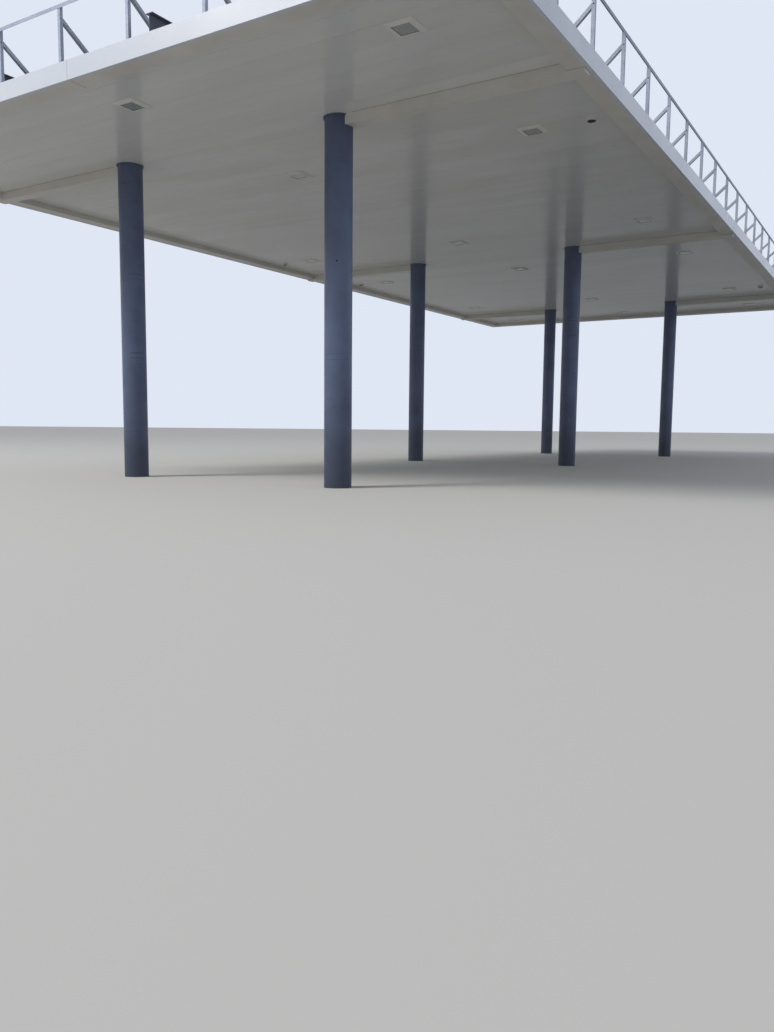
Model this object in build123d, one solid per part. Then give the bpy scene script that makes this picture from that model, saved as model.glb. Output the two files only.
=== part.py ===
from build123d import *
import math
import os

os.makedirs("parts", exist_ok=True)

# Filling station canopy on six round columns. All lengths are millimetres.
# X runs across the canopy, Y along it, Z up; the origin lies under the middle of the
# canopy at the level the columns stand on.

seat = 0.3                 # gap left between pieces that sit on one another

# outline and heights
canopy_width = 11625.0
canopy_length = 25475.0
fascia_bottom = 5131.0
fascia_height = 914.4
deck_lift = 100.0          # underside of the deck above the lower edge of the fascia
gutter_width = 285.0       # inner face of the gutter to the outside of the fascia
deck_z = fascia_bottom + deck_lift

# deck pans: the planks of the ceiling, laid across the canopy
pan_pitch = 406.4
pans_per_bay = 24
pan_sheet = 2.0
pan_depth = 76.0
pan_groove_width = 3.0     # open joint between two pans, seen from below
pan_groove_height = 12.0
pan_hem = 45.0             # inward lip along the top of each standing leg
pan_overlap = 55.0         # how far a pan runs out over the gutter
narrowest_share = 0.25     # a closing pan is at least this share of a full one
half_count = int((canopy_length / 2 - gutter_width) / pan_pitch - narrowest_share)
pan_count = 2 * half_count
pan_top = deck_z + pan_depth
deck_length = pan_count * pan_pitch

# columns
bay = pans_per_bay * pan_pitch
row_gap = 4293.0
column_od = 406.4
column_wall = 9.5
column_clearance = 4.0     # round the column where it passes through the deck
cut_sides = 12             # the cut for a column is nibbled straight, out of sight over the collar
collar_height = 22.0
collar_width = 17.0
cap_length = 560.0         # cap plate, bolted to the cross beam outside the pipe
cap_width = 440.0
cap_thick = 25.0

# steel above the deck
beam_depth = 457.0
beam_flange = 190.0
beam_flange_thick = 14.5
beam_web = 9.0
beam_past_purlin = 160.0   # end of a cross beam past the outer purlin
stiffener_thick = 12.0
stiffener_offset = 150.0   # stiffeners stand this far to each side of the column's middle
purlin_depth = 312.7
purlin_flange = 102.4
purlin_flange_thick = 10.8
purlin_web = 6.6
purlin_lines = 4
purlin_pitch = 3040.0
purlin_end_gap = 30.0      # end of a purlin to the inside of the fascia posts
purlin_cope_gap = 12.0     # purlin flange stops this far short of the beam flange
tongue_depth = 230.0       # web of the purlin where it meets the beam
cleat_leg = 76.0           # bolted angle between a purlin's web and the beam's
cleat_thick = 8.0
cleat_height = 180.0

# fascia frame
band_sheet = 3.0
band_height = 235.0
band_return = 55.0         # lower lip turned in under the gutter
band_joint = 4.0
bands_per_side = 4
bands_per_end = 2
band_joint_past = 142.0    # the joints stand this far from even spacing
post_pitch = 3 * pan_pitch
post_past = 33.0           # the leg of a post that stands in is this far past the pan joint
angle_leg = 44.5           # one size of angle makes the posts, the rail and the braces
angle_thick = 3.2
brace_head_drop = 113.0    # top of the fascia to the top of the brace at the post
brace_seam = half_count - 1    # end braces land on this pan joint, counted from the middle
brace_grip = 12.0          # how far their feet reach over the lip of the pan
brace_side_foot = 717.5    # foot of a side brace to the outside of the fascia
brace_foot_z = pan_top + seat
mitre_reach = 120.0        # depth of the slanting cuts at the corners of bands and rails
post_foot = fascia_bottom + band_sheet + seat

# gutters along the sides and closing troughs at the ends
gutter_sheet = 3.0
gutter_lip = 26.0
gutter_back_height = 234.0

# drain boxes hung under the deck
drain_width = 200.0
drain_depth = 140.0
drain_sheet = 3.0
drain_stop = 60.0          # end of the box to the outside of the fascia
drain_trim = 45.0
drain_trim_proud = 3.0

# lights let into the deck
light_from_gutter = 1207.5    # outer lights to the inner face of the gutter
light_step = 4.5 * pan_pitch
light_frame = 372.0
light_frame_drop = 24.0
light_lens = 246.0
light_bezel = 262.0
light_lip = 6.0
light_lens_thick = 5.0
light_box = 300.0
light_box_height = 140.0
light_cut = 316.0

# dome cameras beside the gutters
dome_from_gutter = 327.5
dome_radius = 62.0
dome_base_radius = 80.0
dome_base_rim = 6.0        # base round the dome at its lower edge
dome_base_height = 30.0

# worked out from the above
half_w = canopy_width / 2
half_l = canopy_length / 2
deck_half = half_w - gutter_width
post_front = angle_thick + seat    # the rail, which lies outside the posts, is flush with the band
post_back = post_front + angle_leg
rail_top = fascia_bottom + fascia_height
brace_head_z = rail_top - brace_head_drop
gutter_out = post_back + seat
pan_reach = deck_half + pan_overlap
closing_width = half_l - gutter_width - deck_length / 2
gutter_bottom = fascia_bottom + band_sheet + seat
column_x = row_gap / 2
column_r = column_od / 2
lines_y = [-bay, 0.0, bay]
line_names = ["front", "middle", "rear"]
rows = [(-1, "left"), (1, "right")]
beam_z = pan_top + seat + cap_thick + seat
purlin_z = pan_top + seat
purlins_x = [(i - (purlin_lines - 1) / 2) * purlin_pitch for i in range(purlin_lines)]
beam_reach = purlins_x[-1] + beam_past_purlin


def save(name, solids):
    export_step(Compound(list(solids)), f"parts/{name}.step")


def prism(points, direction):
    face = Face(Wire.make_polygon([Vector(*p) for p in points], close=True))
    return Solid.extrude(face, Vector(*direction))


def along_y(points_xz, y0, y1):
    return prism([(x, y0, z) for x, z in points_xz], (0, y1 - y0, 0))


def along_x(points_yz, x0, x1):
    return prism([(x0, y, z) for y, z in points_yz], (x1 - x0, 0, 0))


def along_z(points_xy, z0, z1):
    return prism([(x, y, z0) for x, y in points_xy], (0, 0, z1 - z0))


def block(x0, x1, y0, y1, z0, z1):
    return along_z([(x0, y0), (x1, y0), (x1, y1), (x0, y1)], z0, z1)


def tube(x, y, z0, z1, outer, inner):
    ring = Solid.make_cylinder(outer, z1 - z0, Plane((x, y, z0)))
    return ring - Solid.make_cylinder(inner, z1 - z0, Plane((x, y, z0)))


def folded(path, thickness):
    """Outline of a sheet folded along an open path, thickened to the left of the path."""
    normals = []
    for (x0, y0), (x1, y1) in zip(path, path[1:]):
        length = math.hypot(x1 - x0, y1 - y0)
        normals.append(((y0 - y1) / length, (x1 - x0) / length))
    inner = []
    for i, (x, y) in enumerate(path):
        a = normals[max(i - 1, 0)]
        b = normals[min(i, len(normals) - 1)]
        mitre = thickness / (1 + a[0] * b[0] + a[1] * b[1])
        inner.append((x + (a[0] + b[0]) * mitre, y + (a[1] + b[1]) * mitre))
    return path + inner[::-1]


def i_section(centre, z0, depth, flange, flange_thick, web):
    """Outline of a rolled beam, bottom flange on z0."""
    f = flange / 2
    w = web / 2
    low = [(-f, 0), (f, 0), (f, flange_thick), (w, flange_thick)]
    high = [(w, depth - flange_thick), (f, depth - flange_thick), (f, depth), (-f, depth)]
    side = [(-f, depth - flange_thick), (-w, depth - flange_thick), (-w, flange_thick), (-f, flange_thick)]
    return [(centre + u, z0 + v) for u, v in low + high + side]


# columns


def column(x, y):
    return tube(x, y, 0, pan_top, column_r, column_r - column_wall)


def collar(x, y):
    inner = column_r + seat
    ring = tube(x, y, deck_z - collar_height - seat, deck_z - seat, inner + collar_width, inner)
    side = math.copysign(1, x)
    clear = drain_width / 2 + drain_trim_proud + seat
    slot = block(x, x + side * column_od, y - clear, y + clear, deck_z - collar_height * 2, deck_z)
    return ring - slot


def cap(x, y):
    u = cap_length / 2
    v = cap_width / 2
    z = pan_top + seat
    return block(x - u, x + u, y - v, y + v, z, z + cap_thick)


# steel above the deck


def cross_beam(y):
    """Rolled beam with welded stiffeners between its flanges over each column."""
    outline = i_section(y, beam_z, beam_depth, beam_flange, beam_flange_thick, beam_web)
    body = along_x(outline, -beam_reach, beam_reach)
    low = beam_z + beam_flange_thick
    high = beam_z + beam_depth - beam_flange_thick
    t = stiffener_thick / 2
    for side, _ in rows:
        for step in (-stiffener_offset, stiffener_offset):
            x = side * column_x + step
            body = body.fuse(block(x - t, x + t, y - beam_flange / 2, y + beam_flange / 2, low, high))
    return body.clean()


def cleats(x, y):
    """Angles that join the purlins on both sides of a cross beam to its web."""
    middle = purlin_z + purlin_depth / 2
    pieces = []
    for side in (-1, 1):
        corner = (x + purlin_web / 2 + seat, y + side * (beam_web / 2 + seat))
        plan = angle_plan(corner, (1, 0), (0, side), cleat_leg, cleat_thick)
        pieces.append(along_z(plan, middle - cleat_height / 2, middle + cleat_height / 2))
    return pieces


def purlin_piece(x, y0, y1, tongue0, tongue1):
    """One length of purlin; a tongue is the coped web that reaches a cross beam."""
    outline = i_section(x, purlin_z, purlin_depth, purlin_flange, purlin_flange_thick, purlin_web)
    body = along_y(outline, y0, y1)
    middle = purlin_z + purlin_depth / 2
    w = purlin_web / 2
    low = middle - tongue_depth / 2
    high = middle + tongue_depth / 2
    if tongue0:
        body = body.fuse(block(x - w, x + w, y0 - tongue0, y0, low, high))
    if tongue1:
        body = body.fuse(block(x - w, x + w, y1, y1 + tongue1, low, high))
    return body.clean()


def purlin_line(x):
    stop = beam_flange / 2 + purlin_cope_gap
    tongue = stop - beam_web / 2 - seat
    end = half_l - post_back - purlin_end_gap
    cuts = [-end] + lines_y + [end]
    pieces = []
    for i in range(len(cuts) - 1):
        first = i == 0
        last = i == len(cuts) - 2
        y0 = cuts[i] if first else cuts[i] + stop
        y1 = cuts[i + 1] if last else cuts[i + 1] - stop
        pieces.append(purlin_piece(x, y0, y1, 0 if first else tongue, 0 if last else tongue))
    return pieces


# deck


def pan_outline(y, width):
    side = width / 2 - seat / 2
    foot = width / 2 - pan_groove_width / 2
    left = [(-side + pan_hem, pan_depth), (-side, pan_depth), (-side, pan_groove_height)]
    low = [(-foot, pan_groove_height), (-foot, 0)]
    half = left + low
    path = half + [(-u, v) for u, v in reversed(half)]
    return [(y + u, deck_z + v) for u, v in folded(path, pan_sheet)]


def near(value, targets, reach):
    return [t for t in targets if abs(t - value) < reach]


light_x = deck_half - light_from_gutter
light_lines = [line + side * light_step for line in lines_y for side in (-1, 1)]
light_rows = [-light_x, 0.0, light_x]


def closing_pan(sign):
    """Narrow pan that fills between the last full pan and the end trough."""
    y = sign * (deck_length / 2 + closing_width / 2)
    return along_x(pan_outline(y, closing_width), -pan_reach, pan_reach)


def column_cut(x, y):
    """Many-sided hole for a column, through the sheet and the standing legs of two pans."""
    corner = (column_r + column_clearance) / math.cos(math.pi / cut_sides)
    turns = [2 * math.pi * i / cut_sides for i in range(cut_sides)]
    plan = [(x + corner * math.cos(a), y + corner * math.sin(a)) for a in turns]
    return along_z(plan, deck_z - pan_sheet, pan_top + pan_sheet)


def pan(index):
    y = (index - (pan_count - 1) / 2) * pan_pitch
    body = along_x(pan_outline(y, pan_pitch), -pan_reach, pan_reach)
    for line in near(y, lines_y, pan_pitch):
        for side, _ in rows:
            body -= column_cut(side * column_x, line)
    for line in near(y, light_lines, pan_pitch / 2):
        for x in light_rows:
            c = light_cut / 2
            body -= block(x - c, x + c, line - c, line + c, deck_z - pan_sheet, deck_z + pan_sheet * 2)
    return body


def deck_nodes():
    ends = (pan_count - 2 * pans_per_bay) // 2
    spans = [("front_overhang", 0, ends), ("front_bay", ends, ends + pans_per_bay),
             ("rear_bay", ends + pans_per_bay, pan_count - ends), ("rear_overhang", pan_count - ends, pan_count)]
    for name, first, stop in spans:
        pans = [pan(i) for i in range(first, stop)]
        if first == 0:
            pans.append(closing_pan(-1))
        if stop == pan_count:
            pans.append(closing_pan(1))
        save(f"deck_pans_{name}", pans)


# gutters, end troughs and fascia. Each is drawn once as (distance in from the outside face,
# height) and then laid along one of the four sides.


def lay(outline, side, start, stop):
    """Put a section on a side of the canopy, running from start to stop along that side."""
    axis, sign = side
    if axis == "x":
        return along_y([(sign * (half_w - d), z) for d, z in outline], start, stop)
    return along_x([(sign * (half_l - d), z) for d, z in outline], start, stop)


sides = {"right": ("x", 1), "left": ("x", -1), "front": ("y", -1), "rear": ("y", 1)}


def mitred(body, axis):
    """Trim a run that meets a corner to forty-five degrees, leaving the seating gap."""
    m = seat
    low = [(-m, -m), (mitre_reach, -m), (mitre_reach, mitre_reach + m), (-m, 0)]
    for sx in (-1, 1):
        for sy in (-1, 1):
            plan = [(u, v) if axis == "x" else (v, u) for u, v in low]
            corner = [(sx * (half_w - u), sy * (half_l - v)) for u, v in plan]
            body -= along_z(corner, fascia_bottom, rail_top)
    return body


lip_z = deck_z - seat - gutter_sheet


def trough_outline():
    path = [(gutter_out, gutter_bottom + gutter_back_height), (gutter_out, gutter_bottom)]
    path += [(gutter_width, gutter_bottom), (gutter_width, lip_z), (gutter_width + gutter_lip, lip_z)]
    return folded(path, gutter_sheet)


def gutter(name):
    """Box gutter with a plate closing each end."""
    length = half_l - gutter_out
    body = lay(trough_outline(), sides[name], -length, length)
    low = [(gutter_out, gutter_bottom), (gutter_width, gutter_bottom), (gutter_width, lip_z), (gutter_out, lip_z)]
    for start, stop in ((-length, gutter_sheet - length), (length - gutter_sheet, length)):
        body = body.fuse(lay(low, sides[name], start, stop))
    return body.clean()


def end_trough(name):
    """The same section between the gutters in two lengths, notched round their lips."""
    length = half_w - gutter_width - seat
    middle = -sides[name][1] * band_joint_past
    notch = length - gutter_lip
    pieces = []
    for side, _ in rows:
        run = sorted((middle + side * band_joint / 2, side * length))
        x0, x1 = sorted((side * notch, side * length))
        body = lay(trough_outline(), sides[name], *run)
        pieces.append(body - block(x0, x1, -half_l, half_l, lip_z - seat, deck_z))
    return pieces


def band_outline():
    path = [(0, fascia_bottom + band_height), (0, fascia_bottom), (band_return, fascia_bottom)]
    return folded(path, band_sheet)


def bands(name, half, count):
    """Fascia band in nearly equal lengths with open butt joints, mitred at the corners."""
    step = 2 * half / count
    shift = -half - sides[name][1] * band_joint_past
    edges = [-half] + [shift + i * step for i in range(1, count)] + [half]
    pieces = []
    for y0, y1 in zip(edges, edges[1:]):
        start = y0 if y0 == edges[0] else y0 + band_joint / 2
        stop = y1 if y1 == edges[-1] else y1 - band_joint / 2
        pieces.append(lay(band_outline(), sides[name], start, stop))
    pieces[0] = mitred(pieces[0], sides[name][0])
    pieces[-1] = mitred(pieces[-1], sides[name][0])
    return pieces


def rail_outline():
    front = post_front - angle_thick - seat
    path = [(front, rail_top - angle_leg), (front, rail_top), (front + angle_leg, rail_top)]
    return folded(path, -angle_thick)


def rail(name, half):
    return mitred(lay(rail_outline(), sides[name], -half, half), sides[name][0])


def angle_plan(corner, along, inward, leg, thick):
    """Plan of an angle from its outer corner; along and inward are unit steps."""
    cx, cy = corner
    ax, ay = along
    bx, by = inward
    pattern = [(0, 0), (leg, 0), (leg, thick), (thick, thick), (thick, leg), (0, leg)]
    return [(cx + u * ax + v * bx, cy + u * ay + v * by) for u, v in pattern]


post_head = rail_top - angle_thick - seat


def post(name, at):
    """Angle post behind the fascia; the leg that stands in is on the side turned forward or right."""
    axis, sign = sides[name]
    if axis == "x":
        corner = (sign * (half_w - post_front), at)
        plan = angle_plan(corner, (0, sign), (-sign, 0), angle_leg, angle_thick)
    else:
        corner = (at, sign * (half_l - post_front))
        plan = angle_plan(corner, (sign, 0), (0, -sign), angle_leg, angle_thick)
    return along_z(plan, post_foot, post_head)


def corner_post(sx, sy):
    corner = (sx * (half_w - post_front), sy * (half_l - post_front))
    plan = angle_plan(corner, (-sx, 0), (0, -sy), angle_leg, angle_thick)
    return along_z(plan, post_foot, post_head)


def brace(name, at):
    """Sloping angle from inside a post down to the top of the deck."""
    axis, sign = sides[name]
    d0 = post_front + angle_thick + seat
    d1 = brace_side_foot if axis == "x" else half_l - brace_seam * pan_pitch - pan_hem + brace_grip
    slope = (brace_head_z - brace_foot_z) / (d1 - d0)
    skew = math.hypot(1, slope)
    rise = angle_leg * skew
    thin = angle_thick * skew
    cut = rise / slope
    web = [(d0, brace_head_z), (d1, brace_foot_z), (d1 - cut, brace_foot_z), (d0, brace_head_z - rise)]
    lip = [(d0, brace_head_z - rise + thin), (d1 - cut + thin / slope, brace_foot_z)]
    lip += [(d1 - cut, brace_foot_z), (d0, brace_head_z - rise)]
    start = at + sign * (angle_thick + seat)
    upright = lay(web, sides[name], *sorted((start, start + sign * angle_thick)))
    ledge = lay(lip, sides[name], *sorted((start, start + sign * angle_leg)))
    return upright.fuse(ledge).clean()


def stations(limit, past):
    count = int(limit // post_pitch)
    return [n * post_pitch + past for n in range(-count, count + 1)]


def fascia_side(name):
    long_side = sides[name][0] == "x"
    half = half_l if long_side else half_w
    turn = sides[name][1] if long_side else -sides[name][1]
    at = stations(half - post_back - angle_leg, turn * post_past)
    save(f"fascia_band_{name}", bands(name, half, bands_per_side if long_side else bands_per_end))
    save(f"fascia_top_rail_{name}", [rail(name, half)])
    save(f"fascia_posts_{name}", [post(name, a) for a in at])
    save(f"fascia_braces_{name}", [brace(name, a) for a in at])


# drain boxes


def drain_box(side, y):
    """Open-topped box from the column to the gutter, with a stepped end under the gutter."""
    z0 = deck_z - drain_depth
    top = deck_z - seat
    below_lip = lip_z - seat
    inner = column_x + column_r + drain_trim
    edge = half_w - gutter_width - seat
    step = edge - gutter_lip
    outer = half_w - drain_stop
    under = fascia_bottom - seat
    w = drain_width / 2
    t = drain_sheet
    profile = [(inner, z0), (outer, z0), (outer, under), (edge, under)]
    profile += [(edge, below_lip), (step, below_lip), (step, top), (inner, top)]
    hollow = [(inner, z0 + t), (outer - t, z0 + t), (outer - t, under - t), (edge - t, under - t)]
    hollow += [(edge - t, top), (inner, top)]
    body = along_y([(side * x, z) for x, z in profile], y - w, y + w)
    return body - along_y([(side * x, z) for x, z in hollow], y - w + t, y + w - t)


def drain_sleeve(side, y):
    """Slightly larger band that closes the box against the column."""
    z0 = deck_z - drain_depth - drain_trim_proud
    w = drain_width / 2 + drain_trim_proud
    t = drain_trim_proud - seat
    outer = column_x + column_r + drain_trim * 2
    top = deck_z - seat
    path = [(y - w, top), (y - w, z0), (y + w, z0), (y + w, top)]
    body = along_x(folded(path, t), side * column_x, side * outer)
    return body - Solid.make_cylinder(column_r + seat, drain_depth * 2, Plane((side * column_x, y, z0 - t)))


# lights


def light_frame_solid(x, y):
    a = light_frame / 2
    b = light_bezel / 2
    c = light_lens / 2 - light_lip
    z = deck_z - seat
    low = z - light_frame_drop
    rim = [(-a, z), (-a, z - light_lip), (-b, low), (b, low), (a, z - light_lip), (a, z)]
    plate = along_y([(x + u, v) for u, v in rim], y - a, y + a)
    plate &= along_x([(y + u, v) for u, v in rim], x - a, x + a)
    pocket = light_lens / 2 + seat
    plate -= block(x - pocket, x + pocket, y - pocket, y + pocket, low + light_lip / 2, z)
    return plate - block(x - c, x + c, y - c, y + c, low, z)


def light_lens_solid(x, y):
    h = light_lens / 2
    z = deck_z - seat - light_frame_drop + light_lip / 2 + seat
    return block(x - h, x + h, y - h, y + h, z, z + light_lens_thick)


def light_box_solid(x, y):
    h = light_box / 2
    t = pan_sheet
    z = deck_z
    body = block(x - h, x + h, y - h, y + h, z, z + light_box_height)
    return body - block(x - h + t, x + h - t, y - h + t, y + h - t, z, z + light_box_height - t)


# dome cameras


def dome_base(x, y):
    place = Plane((x, y, deck_z - seat - dome_base_height))
    return Solid.make_cone(dome_radius + dome_base_rim, dome_base_radius, dome_base_height, place)


def dome(x, y):
    r = dome_radius
    top = deck_z - dome_base_height - 2 * seat
    return Solid.make_sphere(r, Plane((x, y, top))) & block(x - r, x + r, y - r, y + r, top - r, top)


dome_x = deck_half - dome_from_gutter
spots = [(side * column_x, y) for side, _ in rows for y in lines_y]
lights = [(x, y) for x in light_rows for y in light_lines]
domes = [(dome_x, light_lines[1]), (dome_x, light_lines[4]), (-dome_x, light_lines[2]), (-dome_x, light_lines[3])]

for side, row in rows:
    for y, line in zip(lines_y, line_names):
        save(f"column_{row}_{line}", [column(side * column_x, y)])
    save(f"gutter_{row}", [gutter(row)])
    save(f"drain_boxes_{row}", [drain_box(side, y) for y in lines_y])
for y, line in zip(lines_y, line_names):
    save(f"cross_beam_{line}", [cross_beam(y)])
for name in sides:
    fascia_side(name)
save("end_troughs", end_trough("front") + end_trough("rear"))
save("fascia_corner_posts", [corner_post(sx, sy) for sx in (-1, 1) for sy in (-1, 1)])
save("column_collars", [collar(x, y) for x, y in spots])
save("column_cap_plates", [cap(x, y) for x, y in spots])
save("purlins", [piece for x in purlins_x for piece in purlin_line(x)])
save("purlin_cleats", [piece for x in purlins_x for y in lines_y for piece in cleats(x, y)])
save("drain_box_sleeves", [drain_sleeve(side, y) for side, _ in rows for y in lines_y])
deck_nodes()
save("light_frames", [light_frame_solid(x, y) for x, y in lights])
save("light_lenses", [light_lens_solid(x, y) for x, y in lights])
save("light_housings", [light_box_solid(x, y) for x, y in lights])
save("dome_camera_bases", [dome_base(x, y) for x, y in domes])
save("dome_camera_domes", [dome(x, y) for x, y in domes])
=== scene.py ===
import math

import bpy
import numpy as np
from mathutils import Matrix, Vector


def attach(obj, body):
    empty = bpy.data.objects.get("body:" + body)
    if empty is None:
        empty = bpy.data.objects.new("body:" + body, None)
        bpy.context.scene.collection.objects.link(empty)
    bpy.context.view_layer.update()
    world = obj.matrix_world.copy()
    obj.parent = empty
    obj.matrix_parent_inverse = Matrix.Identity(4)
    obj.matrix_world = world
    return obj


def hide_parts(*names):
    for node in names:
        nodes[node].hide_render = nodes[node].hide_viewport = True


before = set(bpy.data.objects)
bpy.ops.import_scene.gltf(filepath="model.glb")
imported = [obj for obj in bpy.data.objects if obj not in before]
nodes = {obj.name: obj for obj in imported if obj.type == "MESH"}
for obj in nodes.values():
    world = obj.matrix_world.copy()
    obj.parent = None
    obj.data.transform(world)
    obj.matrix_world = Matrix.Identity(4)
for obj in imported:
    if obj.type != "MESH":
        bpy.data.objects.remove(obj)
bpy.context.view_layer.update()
print("frame loaded:", len(nodes), "pieces")

# the photograph's viewpoint, worked out from the straight edges of the canopy
viewpoint = {
    "place": (9.259, -19.8108, 0.8792),
    "yaw": -31.857,        # degrees, turned left from +Y
    "pitch": -6.0158,
    "roll": 0.5354,
    "focal": 833.16,       # pixels
    "picture": (774, 1032),
    "sensor": 36.0,        # millimetres
    "seesTo": 2000,        # metres
}


def makeCamera(spec):
    # forward = (sin yaw cos pitch, cos yaw cos pitch, sin pitch); right lies level; both are then rolled
    yaw, pitch, roll = (math.radians(spec[k]) for k in ("yaw", "pitch", "roll"))
    ahead = Vector((math.sin(yaw) * math.cos(pitch), math.cos(yaw) * math.cos(pitch), math.sin(pitch)))
    level = Vector((math.cos(yaw), -math.sin(yaw), 0))
    upright = level.cross(ahead)
    right = level * math.cos(roll) + upright * math.sin(roll)
    up = upright * math.cos(roll) - level * math.sin(roll)
    data = bpy.data.cameras.new("photographViewpoint")
    data.sensor_width = spec["sensor"]
    data.lens = spec["focal"] / max(spec["picture"]) * spec["sensor"]
    data.clip_end = spec["seesTo"]
    camera = bpy.data.objects.new("photographViewpoint", data)
    turn = Matrix((right, up, -ahead)).transposed().to_4x4()
    camera.matrix_world = Matrix.Translation(spec["place"]) @ turn
    bpy.context.scene.collection.objects.link(camera)
    bpy.context.scene.camera = camera


makeCamera(viewpoint)
print("camera placed")


# small helpers for meshes

def meshPiece(name, shape, material, crease=35):
    # shape is points (n, 3) in metres and faces (m, 4); edges sharper than crease degrees stay sharp
    points, faces = shape
    mesh = bpy.data.meshes.new(name)
    mesh.from_pydata(points.tolist(), [], faces.tolist())
    mesh.polygons.foreach_set("use_smooth", np.ones(len(mesh.polygons), dtype=bool))
    mesh.set_sharp_from_angle(angle=math.radians(crease))
    mesh.materials.append(material)
    piece = bpy.data.objects.new(name, mesh)
    bpy.context.scene.collection.objects.link(piece)
    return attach(piece, "root")


def ringShell(rings, closed=False):
    # rings is (levels, sides, 3), each counter-clockwise seen from the end of the row. Quads join ring to
    # ring; strips of quads close the first and last ring, or with closed=True the last ring joins the first
    levels, sides = rings.shape[:2]
    index = np.arange(levels * sides).reshape(levels, sides)
    looped = np.hstack([index, index[:, :1]])
    if closed:
        looped = np.vstack([looped, looped[:1]])
    walls = np.stack([looped[:-1, :-1], looped[:-1, 1:], looped[1:, 1:], looped[1:, :-1]], -1).reshape(-1, 4)
    if closed:
        return rings.reshape(-1, 3), walls
    k = np.arange(sides // 2 - 1)
    strip = np.stack([k, k + 1, sides - 2 - k, sides - 1 - k], -1)
    return rings.reshape(-1, 3), np.vstack([walls, index[0][strip[:, ::-1]], index[-1][strip]])


def turned(profile, sides, start=0.0, closed=False):
    # point(level, angle) = (r cos a, r sin a, z) for each (r, z) of the profile
    profile = np.asarray(profile, float)
    angle = start + np.arange(sides) * 2 * np.pi / sides
    radius, height = profile[:, :1], profile[:, 1:]
    rings = np.stack([radius * np.cos(angle), radius * np.sin(angle), height + 0 * angle], -1)
    return ringShell(rings, closed)


def squared(profile, closed=False):
    # the same with four sides: each (h, z) of the profile is a square of half width h
    return turned(np.asarray(profile, float) * (math.sqrt(2), 1), 4, np.pi / 4, closed)


def carried(section, route, up, closed=False):
    # point(i, j) = route i + u across + v up for each (u, v) of the section, where across is up x the way
    # ahead; at a corner across is stretched by 1 / cos(half the turn), so that the runs meet in a mitre
    section, route, up = (np.asarray(a, float) for a in (section, route, up))
    ahead = np.diff(np.vstack([route, route[:1]]) if closed else route, axis=0)
    ahead /= np.linalg.norm(ahead, axis=1)[:, None]
    before = np.roll(ahead, 1, 0) if closed else np.vstack([ahead[:1], ahead])
    after = ahead if closed else np.vstack([ahead, ahead[-1:]])
    across = np.cross(up, before + after) / (1 + (before * after).sum(1))[:, None]
    rings = route[:, None] + section[None, :, :1] * across[:, None] + section[None, :, 1:] * up
    return ringShell(rings, closed)


def oblong(u0, u1, v0, v1):
    # corners of a rectangle, counter-clockwise
    return [(u0, v0), (u1, v0), (u1, v1), (u0, v1)]


# how fasteners are formed, as shares of their own height or radius
fastener = {"sides": 12, "chamferFrom": 0.86, "crown": 0.93, "rodFrom": 0.9, "rodBevel": (0.85, 0.8),
            "domeTurn": 0.86, "domeLevels": 4}


def hexHead(across, head, washer, washerThick):
    # point(level, angle) = r(angle) out: r is steady on the washer, and half of across / cos(angle to the
    # middle of the nearest flat) on the head, with a chamfered crown
    angle = np.arange(fastener["sides"]) * np.pi / (fastener["sides"] / 2)
    flat = 1 / np.cos((angle + np.pi / 6) % (np.pi / 3) - np.pi / 6)
    half = across / 2
    levels = [(washer, 0, 0), (washer, 0, washerThick), (half, 1, washerThick),
              (half, 1, head * fastener["chamferFrom"]), (half * fastener["crown"], 0, head)]
    rings = [np.stack([r * np.cos(angle) * (flat if hexed else 1), r * np.sin(angle) * (flat if hexed else 1),
                       z + 0 * angle], -1) for r, hexed, z in levels]
    return ringShell(np.array(rings))


def boltEnd(across, head, washer, washerThick, rod, proud):
    # a hex nut on its washer with the rod's end standing out of it: r = rod above the crown, then a bevel
    narrowed, bevelFrom = fastener["rodBevel"]
    end = turned([(rod, head * fastener["rodFrom"]), (rod, head + proud * bevelFrom),
                  (rod * narrowed, head + proud)], fastener["sides"])
    return joined([hexHead(across, head, washer, washerThick), end])


def roundHead(radius, height):
    # a low rivet or pan head: r = R cos t, z = h sin t for t from 0 to nearly a quarter turn
    t = np.linspace(0, np.pi / 2 * fastener["domeTurn"], fastener["domeLevels"])
    return turned(np.stack([radius * np.cos(t), height * np.sin(t)], -1), fastener["sides"])


def turnTo(way):
    # rotation that takes +Z to the given way
    return np.array(Vector(way).to_track_quat("Z", "Y").to_matrix())


def repeated(shape, places, ways=(0, 0, 1)):
    # copy k of the shape: point i goes to places[k] + turn[k] @ point[i]
    points, faces = shape
    places = np.asarray(places, float)
    ways = np.broadcast_to(np.asarray(ways, float), places.shape)
    turns = np.array([turnTo(way) for way in ways])
    moved = places[:, None, :] + np.einsum("kij,nj->kni", turns, points)
    step = np.arange(len(places))[:, None, None] * len(points)
    return moved.reshape(-1, 3), (faces[None] + step).reshape(-1, faces.shape[1])


def joined(shapes):
    # several shapes as one: each one's indices are moved on by the points before it
    starts = np.cumsum([0] + [len(points) for points, _ in shapes[:-1]])
    return np.vstack([p for p, _ in shapes]), np.vstack([f + s for (_, f), s in zip(shapes, starts)])


def grid(*axes):
    # every combination of the values on each axis, one a row
    return np.stack([a.ravel() for a in np.meshgrid(*axes, indexing="ij")], -1).astype(float)


def sideways(side):
    # the way (0, side, 0) for each side of -1 or 1
    return np.column_stack([0 * side, side, 0 * side])


# small helpers for materials

def hexColour(code):
    # sRGB to linear: c / 12.92 up to 0.04045, and ((c + 0.055) / 1.055) ^ 2.4 above it
    c = np.array([int(code[i:i + 2], 16) for i in (1, 3, 5)]) / 255
    return (*np.where(c <= 0.04045, c / 12.92, ((c + 0.055) / 1.055) ** 2.4).tolist(), 1.0)


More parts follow.
